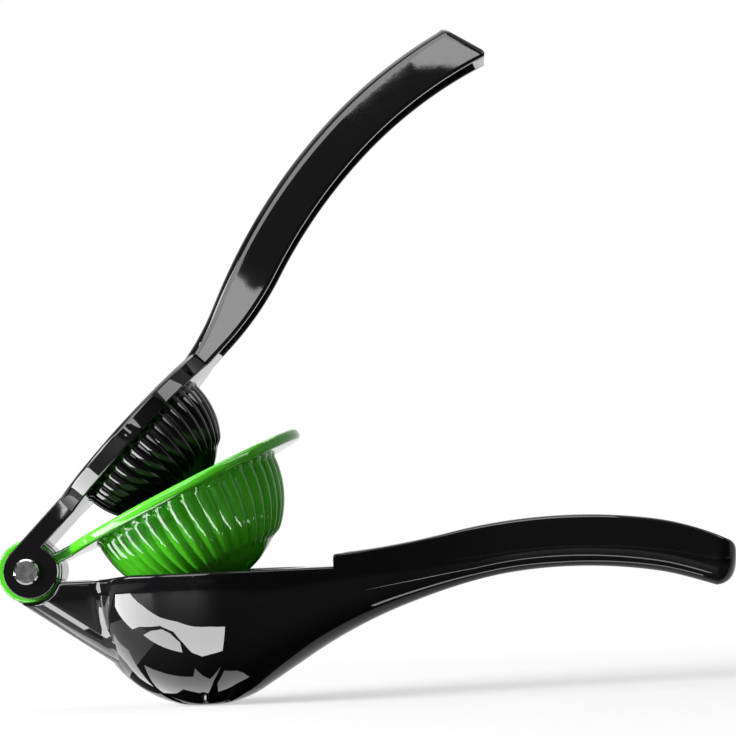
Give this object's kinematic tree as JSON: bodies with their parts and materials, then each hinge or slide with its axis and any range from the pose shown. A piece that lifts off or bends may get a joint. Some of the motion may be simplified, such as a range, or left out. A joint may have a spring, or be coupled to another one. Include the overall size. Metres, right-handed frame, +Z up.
{
  "type": "hinged lemon squeezer",
  "caption": "Hinged hand squeezer for citrus: slotted lower bowl with handle, ribbed insert bowl and ribbed press dome on an upper handle, turning on a common pin.",
  "frame": {"origin": "centre of the whole part in X and Y, on the surface it stands on", "axes": "+X from the hinge towards the handles' ends, +Y along the hinge pin away from the pin's own head, +Z up"},
  "size_m": [0.2278, 0.0806, 0.2039],
  "materials": {
    "black_enamel": "gloss enamel",
    "green_enamel": "gloss enamel",
    "pin_steel": "satin"
  },
  "bodies": {
    "lower": {"lower_bowl": "black_enamel", "hinge_pin": "pin_steel", "pin_cap": "pin_steel"},
    "insert": {"insert_bowl": "green_enamel"},
    "press": {"press_handle": "black_enamel"}
  },
  "joints": [
    {"name": "insert_hinge", "type": "hinge", "parent": "lower", "child": "insert", "pos_m": [-0.1041, 0, 0.04318], "axis": [0, -1, 0], "range_deg": [-25.2, 64.8]},
    {"name": "press_hinge", "type": "hinge", "parent": "insert", "child": "press", "pos_m": [-0.1041, 0, 0.04318], "axis": [0, -1, 0], "range_deg": [-19.2, 69.8]}
  ]
}
